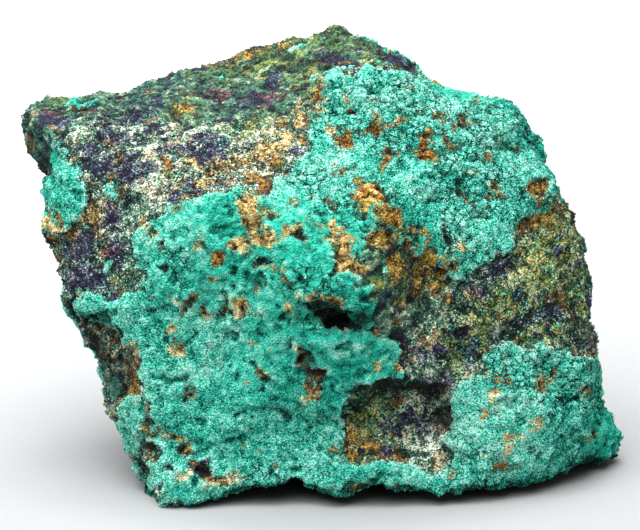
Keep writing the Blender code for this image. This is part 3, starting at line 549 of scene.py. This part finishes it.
small_knob = SMALL_KNOB + SMALL_KNOB_IF_CRACKED * cracked
knobs = KNOB * (billows(2.2, 2, 31.0) - 0.2) + small_knob * (billows(1.05, 1, 41.0) - 0.2)
pores = -PORE * smoothstep(0.30, 0.52, soft_noise(1.7, 2, 71.0))
gullies = GULLY * (0.2 - billows(2.2, 3, 7.0)) + GRIT * soft_noise(0.9, 2, 13.0)
lip = LIP * on_crust * np.exp(-np.maximum(crust, 0) / 1.0)
lip -= UNDERCUT * on_rock * np.exp(np.minimum(crust, 0) / 0.8)
stained = np.maximum(smoothstep(-0.1, 0.5, rust), smoothstep(-0.1, 0.5, tan))
sunk = -EATEN_IN * stained * on_crust + CRUMBLY * stained * (billows(0.8, 1, 61.0) - 0.2)
rusty_knob = RUSTY_KNOB_HEIGHT * smoothstep(-0.2, 0.9, inside_ovals(strayed, RUSTY_KNOB) * frontal)
pits = -PITTED * smoothstep(-0.1, 0.7, dark)
swell = SWELL * soft_noise(4.2, 2, 19.0)
height = swell + lip + sunk + rusty_knob + pits + (knobs + pores) * on_crust + gullies * on_rock

# Edges that are broken back a little, and a peak that stands up: how deep, how softly, and where
TRIMMED_EDGES = (
    (0.5, -0.6, 1.2, ((-30.4, 38.6, 1.8, 3.4, 0),)),
    (1.0, -0.8, 1.2, ((-20.0, 4.8, 2.6, 5.0, 24),)),
    (0.7, -0.6, 1.0, ((25.6, 30.6, 1.8, 3.2, 28), (28.9, 13.4, 1.6, 5.4, 0))),
    (0.4, -0.6, 0.8, ((13.6, 42.6, 4.0, 1.4, -22), (23.4, 34.4, 1.2, 2.0, 35))),
    (-0.55, -0.5, 1.0, ((1.4, 49.4, 1.5, 1.8, 0),)),
)
trimmed = np.zeros(len(points))
for deep_by, start, full, ovals in TRIMMED_EDGES:
    trimmed += deep_by * smoothstep(start, full, inside_ovals(drawn, ovals))
height -= trimmed * (1.0 - resting)

# Painted shade: hollows are darker in colour, and so are the faces turned down on the underside
UNDERSIDE_SHADE = 0.38
facing_down = smoothstep(-0.25, -0.75, upward(facing))
cavity = evened(height, edges, 10, 0.5) - height + UNDERSIDE_SHADE * facing_down
height[resting] = 0.0
points = points + facing * height[:, None]

stone_mesh = bpy.data.meshes.new("stone_rock")
stone_mesh.from_pydata(set_down(points).tolist(), [], triangles.tolist())
stone_mesh.polygons.foreach_set("use_smooth", np.ones(len(triangles), bool))
nought = np.zeros(len(points))
for title, values in (
    ("crust", crust), ("rust", rust), ("maroon", maroon), ("tan", tan), ("olive", olive),
    ("navy", navy), ("cream", cream), ("dark", dark), ("pale", pale), ("cavity", cavity),
    ("deep", deep), ("cracked", cracked), ("worn", worn), ("crisp", crisp), ("dim", dim),
    ("grain", nought), ("tint", nought), ("stray", nought),
):
    layer = stone_mesh.attributes.new(title, "FLOAT", "POINT")
    layer.data.foreach_set("value", values.astype(np.float32))
stone_rock = bpy.data.objects.new("stone_rock", stone_mesh)
bpy.context.scene.collection.objects.link(stone_rock)


class Recipe:
    """Builds a material's nodes: each call adds one node and returns its output."""

    def __init__(self, title):
        self.material = bpy.data.materials.new(title)
        self.material.use_nodes = True
        self.tree = self.material.node_tree
        self.shader = self.tree.nodes["Principled BSDF"]

    def add(self, kind, *inputs, **settings):
        node = self.tree.nodes.new("ShaderNode" + kind)
        for title, value in settings.items():
            setattr(node, title, value)
        for socket, value in zip(node.inputs, inputs):
            self.set(socket, value)
        return node

    def set(self, socket, value):
        if isinstance(value, bpy.types.NodeSocket):
            self.tree.links.new(value, socket)
        elif value is not None:
            socket.default_value = value

    def attribute(self, title):
        return self.add("Attribute", attribute_name=title).outputs["Fac"]

    def math(self, operation, *values):
        return self.add("Math", *values, operation=operation).outputs[0]

    def between(self, value, low, high, to_low=0.0, to_high=1.0):
        """Where a value stands from low to high, as 0 to 1 or another span, and no further."""
        return self.add("MapRange", value, low, high, to_low, to_high, clamp=True).outputs[0]

    def ramp(self, factor, *stops):
        """Colours along a factor: each stop is its place, 0 to 1, and its colour on a screen."""
        node = self.add("ValToRGB", factor)
        for at, _ in stops[2:]:
            node.color_ramp.elements.new(at)
        for element, (at, _) in zip(node.color_ramp.elements, stops):
            element.position = at
        for element, (_, colour) in zip(node.color_ramp.elements, stops):
            element.color = linear(colour)
        return node.outputs["Color"]

    def mixed(self, factor, first, second, blend="MIX"):
        node = self.add("Mix", data_type="RGBA", blend_type=blend)
        self.set(node.inputs["Factor"], factor)
        self.set(node.inputs["A"], first)
        self.set(node.inputs["B"], second)
        return node.outputs["Result"]


def linear(colour):
    """A colour given as 0 to 255 on a screen, as light."""
    parts = (c / 255 / 12.92 if c < 10.3 else ((c / 255 + 0.055) / 1.055) ** 2.4 for c in colour)
    return tuple(parts) + (1.0,)


# One material for the whole stone, with every pattern laid in millimetres on the stone itself
ore = Recipe("crusted_copper_ore")
place = ore.add("VectorMath", ore.add("TexCoord").outputs["Object"], operation="SCALE")
place.inputs["Scale"].default_value = MM
place = place.outputs[0]


def cloudy(scale, detail, roughness=None):
    """A noise texture: scale is in features to the millimetre."""
    texture = ore.add("TexNoise", noise_dimensions="3D", normalize=True)
    settings = (("Vector", place), ("Scale", scale), ("Detail", detail), ("Roughness", roughness))
    for title, value in settings:
        ore.set(texture.inputs[title], value)
    return texture


def mottle(scale, detail, roughness=0.6):
    """The same as a grey, 0 to 1 and mostly near 0.5."""
    return cloudy(scale, detail, roughness).outputs["Fac"]


def crystals(scale, where=place):
    """Cells side by side: a random colour for each, and the distance from its middle."""
    texture = ore.add("TexVoronoi", voronoi_dimensions="3D", feature="F1")
    ore.set(texture.inputs["Vector"], where)
    ore.set(texture.inputs["Scale"], scale)
    return texture.outputs["Color"], texture.outputs["Distance"]


fine = mottle(4.2, 3.0)
finest = mottle(6.5, 2.0)
middling = mottle(1.0, 4.0)
broad = mottle(0.22, 4.0)
cell_colour, cell_distance = crystals(5.2)
channels = ore.add("SeparateColor", cell_colour)
is_grain = ore.attribute("grain")
cell_one = ore.between(is_grain, 0.0, 1.0, channels.outputs[0], ore.attribute("tint"))
cell_two = ore.between(is_grain, 0.0, 1.0, channels.outputs[1], ore.attribute("stray"))
painted_shade_amount = ore.attribute("cavity")
pale_share = ore.between(ore.attribute("pale"), -0.7, 0.9)
deep_share = ore.between(ore.attribute("deep"), -0.6, 0.7)
dim_share = ore.between(ore.attribute("dim"), -0.8, 0.8)


def lifted(value, amount, onto):
    """Adds a value onto a tone, by an amount."""
    return ore.math("MULTIPLY_ADD", value, amount, onto)


def spread(value, amount, onto):
    """Adds a 0 to 1 value onto a tone, centred, by an amount."""
    return lifted(ore.math("SUBTRACT", value, 0.5), amount, onto)


# Fine cracks run between the knobs of the crust, most of them on the upper right; they are darkened with
# painted shade
sway = cloudy(1.1, 4.0).outputs["Color"]
bent = ore.add("VectorMath", sway, (1.3, 1.3, 1.3), place, operation="MULTIPLY_ADD").outputs[0]
ragged = ore.add("VectorMath", sway, (1.5, 1.5, 1.5), place, operation="MULTIPLY_ADD").outputs[0]
crack_web = ore.add("TexVoronoi", voronoi_dimensions="3D", feature="DISTANCE_TO_EDGE")
ore.set(crack_web.inputs["Vector"], bent)
ore.set(crack_web.inputs["Scale"], 1.15)
from_crack = crack_web.outputs["Distance"]
knob_shading = ore.between(from_crack, 0.0, 0.30)
crack = ore.math("MULTIPLY", ore.between(from_crack, 0.11, 0.03), ore.attribute("cracked"))
crack = ore.math("MULTIPLY", crack, ore.between(middling, 0.40, 0.56))

# Everything is more sharply grained on the faces that broke last than where they are rubbed
vigour = ore.between(ore.attribute("crisp"), 0.0, 1.0, 0.60, 2.2)
vigour = lifted(ore.attribute("worn"), -0.36, vigour)
# Thin dark lines where the grains meet: painted shade in the creases between them
crease_shade = ore.between(ore.math("ABSOLUTE", ore.math("SUBTRACT", mottle(3.0, 2.0), 0.5)), 0.0, 0.035)
speckle_and_crease_shade = spread(crease_shade, 0.20, spread(cell_one, 0.20, spread(fine, 0.5, spread(finest, 1.0, 0.0))))
speckle_and_crease_shade = ore.math("MULTIPLY", speckle_and_crease_shade, vigour)

# The crust: saturated green, with painted shade in its hollows, in its cracks and round its knobs, and
# painted light on the knob tops;
# greyer and paler where it is dusted, with flecks of mint that crowd together there
crust_tone = ore.math("ADD", speckle_and_crease_shade, ore.between(is_grain, 0.0, 1.0, 0.36, 0.484))
crust_tone = spread(middling, 0.65, crust_tone)
# Painted shade round the edges of each knob, and painted light on its top
crust_tone = spread(knob_shading, 0.17, crust_tone)
crust_tone = spread(broad, 0.5, crust_tone)
crust_tone = lifted(pale_share, 0.06, crust_tone)
crust_tone = lifted(deep_share, -0.10, crust_tone)
# Painted shade in the hollows and on the underside
crust_tone = lifted(painted_shade_amount, -1.2, crust_tone)
flecks = lifted(pale_share, 0.34, lifted(deep_share, -0.30, cell_two))
flecks = spread(broad, 0.8, spread(middling, 1.1, flecks))
crust_tone = lifted(ore.between(flecks, 0.60, 1.0), 0.14, crust_tone)
# Painted shade in the cracks
crust_tone = lifted(crack, -0.50, crust_tone)
crust_tone = lifted(dim_share, -0.08, crust_tone)
rich_colour = ore.ramp(
    crust_tone, (0.0, (0, 40, 32)), (0.2, (0, 94, 76)), (0.36, (4, 146, 123)),
    (0.52, (20, 178, 154)), (0.70, (71, 193, 170)), (0.86, (120, 203, 183)), (1.0, (160, 217, 201)),
)
dusty_colour = ore.ramp(
    crust_tone, (0.0, (10, 46, 38)), (0.2, (26, 98, 82)), (0.36, (63, 148, 129)),
    (0.52, (96, 178, 156)), (0.70, (138, 200, 180)), (0.86, (170, 214, 199)), (1.0, (200, 230, 217)),
)
dust = spread(cell_two, 0.25, spread(mottle(0.75, 5.0, 0.7), 2.2, 0.05))
dust = lifted(pale_share, 0.36, lifted(deep_share, -0.22, dust))
crust_colour = ore.mixed(ore.between(dust, 0.0, 1.0), rich_colour, dusty_colour)

# The rock is a mosaic of ragged pieces a half to one and a half millimetres across: dark blue-black
# ore, grey-green and brown rock, and cream-white specks, which lie in clusters
clusters = ore.math("SUBTRACT", mottle(0.6, 6.0, 0.78), 0.5)
large_piece = ore.add("SeparateColor", crystals(0.75, ragged)[0])
small_piece = ore.add("SeparateColor", crystals(2.0, ragged)[0])
rock_tone = spread(cell_one, 0.22, lifted(speckle_and_crease_shade, 0.75, 0.345))
rock_tone = spread(small_piece.outputs[0], 0.36, spread(large_piece.outputs[0], 0.34, rock_tone))
rock_tone = lifted(clusters, 1.1, rock_tone)
# Painted shade in the hollows and on the underside
rock_tone = lifted(painted_shade_amount, -1.3, rock_tone)
rock_tone = lifted(pale_share, 0.10, rock_tone)
rock_tone = lifted(dim_share, -0.12, rock_tone)
calm = ore.between(ore.attribute("worn"), 0.0, 1.0, 1.0, 0.8)
MIDDLE_TONE = 0.36
rock_tone = lifted(ore.math("SUBTRACT", rock_tone, MIDDLE_TONE), calm, MIDDLE_TONE)
slate_colour = ore.ramp(
    rock_tone, (0.0, (10, 15, 18)), (0.20, (22, 40, 39)), (0.36, (40, 78, 70)), (0.50, (66, 114, 96)),
    (0.64, (102, 139, 111)), (0.78, (152, 174, 144)), (0.90, (214, 222, 198)), (1.0, (244, 244, 232)),
)
olive_colour = ore.ramp(
    rock_tone, (0.0, (14, 20, 16)), (0.25, (36, 62, 44)), (0.42, (74, 110, 60)), (0.58, (124, 138, 62)),
    (0.76, (180, 164, 80)), (1.0, (220, 214, 162)),
)
brown_colour = ore.ramp(
    rock_tone, (0.0, (18, 16, 14)), (0.3, (58, 50, 36)), (0.5, (106, 92, 58)), (0.7, (152, 134, 90)),
    (1.0, (220, 208, 176)),
)
maroon_colour = ore.ramp(
    rock_tone, (0.0, (20, 10, 16)), (0.35, (66, 30, 42)), (0.6, (118, 56, 68)), (1.0, (186, 150, 150)),
)
navy_colour = ore.ramp(
    rock_tone, (0.0, (10, 11, 20)), (0.3, (27, 25, 44)), (0.55, (50, 46, 76)), (0.8, (90, 92, 110)),
    (1.0, (160, 164, 160)),
)

# Rust lies over both, in brown, orange and, where the rock is olive, gold; the paler stains are tan
stain_tone = spread(cell_one, 0.42, 0.41)
stain_tone = spread(fine, 1.2, stain_tone)
stain_tone = spread(mottle(1.8, 3.0), 1.3, stain_tone)
# Painted shade in the hollows and on the underside
stain_tone = lifted(painted_shade_amount, -1.2, stain_tone)
stain_tone = lifted(ore.attribute("worn"), 0.08, stain_tone)
rust_colour = ore.ramp(
    stain_tone, (0.0, (26, 20, 12)), (0.20, (74, 50, 18)), (0.40, (132, 86, 26)), (0.58, (172, 118, 40)),
    (0.78, (196, 156, 82)), (1.0, (230, 210, 160)),
)
golden_colour = ore.ramp(
    stain_tone, (0.0, (30, 27, 14)), (0.22, (92, 78, 30)), (0.42, (152, 128, 48)), (0.60, (190, 164, 72)),
    (0.80, (212, 190, 112)), (1.0, (236, 222, 176)),
)
cream_colour = ore.ramp(
    rock_tone, (0.0, (20, 24, 24)), (0.18, (58, 66, 60)), (0.34, (108, 118, 98)), (0.5, (160, 164, 138)),
    (0.74, (212, 208, 184)), (1.0, (242, 240, 224)),
)
tan_colour = ore.ramp(
    rock_tone, (0.0, (34, 36, 28)), (0.18, (92, 82, 48)), (0.36, (164, 136, 76)), (0.52, (204, 172, 108)),
    (0.78, (228, 204, 150)), (1.0, (244, 232, 206)),
)


def share(title, softness, fine_stray, middling_stray, offset=0.0):
    """Where a mineral shows: its drawn place with an edge broken up grain by grain."""
    depth = spread(middling, middling_stray, spread(cell_two, fine_stray, ore.attribute(title)))
    return ore.between(depth, offset - softness, offset + softness)


RIM_BROWN, SHADE_BLACK = (44, 34, 22), (22, 26, 24)

# The colours are laid over each other: bare rock first, then the crust, the stains and the shade
colour = ore.mixed(ore.between(large_piece.outputs[1], 0.80, 0.82), slate_colour, brown_colour)
colour = ore.mixed(share("olive", 0.5, 2.2, 2.4), colour, olive_colour)
colour = ore.mixed(share("cream", 0.15, 2.4, 2.0), colour, cream_colour)
flake = ore.between(small_piece.outputs[1], 0.89, 0.92)
flake = ore.math("MULTIPLY", flake, ore.between(middling, 0.42, 0.56))
colour = ore.mixed(flake, colour, cream_colour)
colour = ore.mixed(share("navy", 0.15, 0.9, 2.0, 0.16), colour, navy_colour)
colour = ore.mixed(share("maroon", 0.15, 0.9, 1.2, 0.0), colour, maroon_colour)
colour = ore.mixed(ore.between(large_piece.outputs[1], 0.09, 0.07), colour, navy_colour)
olive_share = ore.between(ore.attribute("olive"), -1.2, 0.6)
dusting = ore.between(lifted(olive_share, 0.16, cell_two), 0.92, 0.97)
dusting = ore.math("MULTIPLY", dusting, ore.between(middling, 0.46, 0.56))
dusting = ore.math("MULTIPLY", dusting, ore.between(ore.attribute("worn"), 0.0, 0.8, 1.0, 0.2))
colour = ore.mixed(dusting, colour, crust_colour)
colour = ore.mixed(share("crust", 0.08, 0.5, 1.4), colour, crust_colour)
golden = ore.between(ore.attribute("olive"), -0.4, 0.3)
golden = ore.math("MAXIMUM", golden, ore.between(mottle(0.5, 3.0), 0.52, 0.60))
rust_colour = ore.mixed(ore.math("MULTIPLY", golden, 0.75), rust_colour, golden_colour)
rust_specks = ore.between(mottle(0.75, 3.0), 0.67, 0.70)
rust_specks = ore.math("MULTIPLY", rust_specks, ore.between(cell_two, 0.2, 0.4))
colour = ore.mixed(rust_specks, colour, rust_colour)
colour = ore.mixed(share("tan", 0.12, 0.6, 1.6, 0.0), colour, tan_colour)
colour = ore.mixed(share("rust", 0.08, 0.70, 2.3, 0.12), colour, rust_colour)
# A dark brown rim round each rust spot: partly the rust's own dark edge, partly painted shade where it
# drops into its sunken hollow
rim = share("rust", 0.10, 0.70, 2.3, -0.06)
rim = ore.math("SUBTRACT", rim, share("rust", 0.10, 0.70, 2.3, 0.22))
rim = ore.math("MULTIPLY", rim, ore.between(fine, 0.40, 0.52, 0.0, 0.85))
colour = ore.mixed(rim, colour, linear(RIM_BROWN))
shade = ore.math("MULTIPLY", ore.between(ore.attribute("dark"), -0.4, 0.4), 0.75)
colour = ore.mixed(shade, colour, linear(SHADE_BLACK))
ore.set(ore.shader.inputs["Base Color"], colour)
ore.set(ore.shader.inputs["Roughness"], ore.between(cell_two, 0.0, 1.0, 0.98, 0.62))
ore.shader.inputs["Specular IOR Level"].default_value = 0.25

# Too fine to model: each grain's own bulge, and the depth of the cracks
grain_height = lifted(cell_distance, -0.7, ore.math("MULTIPLY", fine, 1.2))
grain_height = lifted(crack, -1.6, grain_height)
bump = ore.add("Bump")
ore.set(bump.inputs["Height"], grain_height)
bump.inputs["Strength"].default_value = 0.9
bump.inputs["Distance"].default_value = 0.00012
ore.set(ore.shader.inputs["Normal"], bump.outputs["Normal"])

stone_mesh.materials.append(ore.material)
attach(stone_rock, "root")
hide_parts("stone")


# ---- The grains ----
# The crust is made of crystals a few tenths of a millimetre across, packed side by side, and the
# rock is as grainy. Each grain is a small eight-sided crystal, half sunk in the surface and turned
# at random; they are laid in four beds, each of which covers its own part of the stone.

GRAINS_IN_A_BED = 23600
FRONT_GRAIN = 0.125  # radius in millimetres, before each is made a little smaller or larger
BACK_GRAIN = 0.26
SMALLEST, LARGEST = 0.6, 1.25
FULL_TURN = 6.2832
FIRST_SEED, SEED_STEP = 11, 10
BED_BORDER = 2.0  # where the left and the right bed of the crust meet

beds = bpy.data.node_groups.new("beds_of_grains", "GeometryNodeTree")
sockets = {}
for title, kind, way in (
    ("Surface", "NodeSocketGeometry", "INPUT"), ("Where", "NodeSocketString", "INPUT"),
    ("Density", "NodeSocketFloat", "INPUT"), ("Size", "NodeSocketFloat", "INPUT"),
    ("Seed", "NodeSocketInt", "INPUT"), ("Material", "NodeSocketMaterial", "INPUT"),
    ("Grains", "NodeSocketGeometry", "OUTPUT"),
):
    sockets[title] = beds.interface.new_socket(title, in_out=way, socket_type=kind).identifier


def node(kind, **inputs):
    """Adds a node to the beds' tree, with its inputs linked or set by name."""
    settings = {title[4:]: inputs.pop(title) for title in list(inputs) if title.startswith("set_")}
    made = beds.nodes.new(kind)
    for title, value in settings.items():
        setattr(made, title, value)
    for title, value in inputs.items():
        socket = next(s for s in made.inputs if s.enabled and s.name == title.replace("_", " "))
        if isinstance(value, bpy.types.NodeSocket):
            beds.links.new(value, socket)
        else:
            socket.default_value = value
    return made


def out_of(made):
    """A node's first output that is in use."""
    return next(socket for socket in made.outputs if socket.enabled)


def chance(low, high, offset, kind="FLOAT"):
    """A value picked at random for each grain."""
    seed = node("ShaderNodeMath", set_operation="ADD")
    beds.links.new(given.outputs["Seed"], seed.inputs[0])
    seed.inputs[1].default_value = offset
    picked = node("FunctionNodeRandomValue", set_data_type=kind, Min=low, Max=high, Seed=out_of(seed))
    return out_of(picked)


given = beds.nodes.new("NodeGroupInput")
where = node("GeometryNodeInputNamedAttribute", set_data_type="FLOAT", Name=given.outputs["Where"])
density = node("ShaderNodeMath", set_operation="MULTIPLY")
beds.links.new(out_of(where), density.inputs[0])
beds.links.new(given.outputs["Density"], density.inputs[1])
scattered = node(
    "GeometryNodeDistributePointsOnFaces", set_distribute_method="RANDOM",
    Mesh=given.outputs["Surface"], Density=out_of(density), Seed=given.outputs["Seed"],
)
crystal = node("GeometryNodeMeshUVSphere", Segments=4, Rings=2, Radius=1.0)
size = node("ShaderNodeMath", set_operation="MULTIPLY")
beds.links.new(chance(SMALLEST, LARGEST, 1), size.inputs[0])
beds.links.new(given.outputs["Size"], size.inputs[1])
turn = chance((0.0, 0.0, 0.0), (FULL_TURN, FULL_TURN, FULL_TURN), 2, "FLOAT_VECTOR")
placed = node(
    "GeometryNodeInstanceOnPoints", Points=scattered.outputs["Points"], Instance=crystal.outputs["Mesh"],
    Rotation=out_of(node("FunctionNodeEulerToRotation", Euler=turn)), Scale=out_of(size),
)
grains = placed.outputs["Instances"]
for offset, title, low, high in ((3, "tint", 0.0, 1.0), (4, "stray", 0.0, 1.0), (5, "grain", 1.0, 1.0)):
    grains = out_of(node(
        "GeometryNodeStoreNamedAttribute", set_data_type="FLOAT", set_domain="INSTANCE",
        Geometry=grains, Name=title, Value=chance(low, high, offset),
    ))
grains = out_of(node("GeometryNodeRealizeInstances", Geometry=grains))
grains = out_of(node("GeometryNodeSetMaterial", Geometry=grains, Material=given.outputs["Material"]))
result = beds.nodes.new("NodeGroupOutput")
beds.links.new(grains, result.inputs["Grains"])

corners = points[triangles]
patch = np.cross(corners[:, 1] - corners[:, 0], corners[:, 2] - corners[:, 0])
patch = np.linalg.norm(patch, axis=1) / 2
clear = smoothstep(0.3, 0.6, upward(points) - TABLE_HEIGHT)
leftward = (points[:, 0] < BED_BORDER).astype(float)
for number, (title, chosen, radius) in enumerate((
    ("crust_grains_left", clear * frontal * on_crust * leftward, FRONT_GRAIN),
    ("crust_grains_right", clear * frontal * on_crust * (1.0 - leftward), FRONT_GRAIN),
    ("rock_grains", clear * frontal * on_rock, FRONT_GRAIN),
    ("back_grains", clear * (1.0 - frontal), BACK_GRAIN),
)):
    bed_mesh = stone_mesh.copy()
    layer = bed_mesh.attributes.new("where", "FLOAT", "POINT")
    layer.data.foreach_set("value", chosen.astype(np.float32))
    bed = bpy.data.objects.new(title, bed_mesh)
    bpy.context.scene.collection.objects.link(bed)
    modifier = bed.modifiers.new("grains", "NODES")
    modifier.node_group = beds
    per_area = GRAINS_IN_A_BED / (patch * chosen[triangles].mean(axis=1)).sum()
    modifier[sockets["Where"]] = "where"
    modifier[sockets["Density"]] = per_area * MM * MM
    modifier[sockets["Size"]] = radius / MM
    modifier[sockets["Seed"]] = FIRST_SEED + SEED_STEP * number
    modifier[sockets["Material"]] = ore.material
    finished = bed.evaluated_get(bpy.context.evaluated_depsgraph_get())
    grown = bpy.data.meshes.new_from_object(finished)
    bed.modifiers.remove(modifier)
    bed.data = grown
    bpy.data.meshes.remove(bed_mesh)
    grown.name = title
    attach(bed, "root")


low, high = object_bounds()
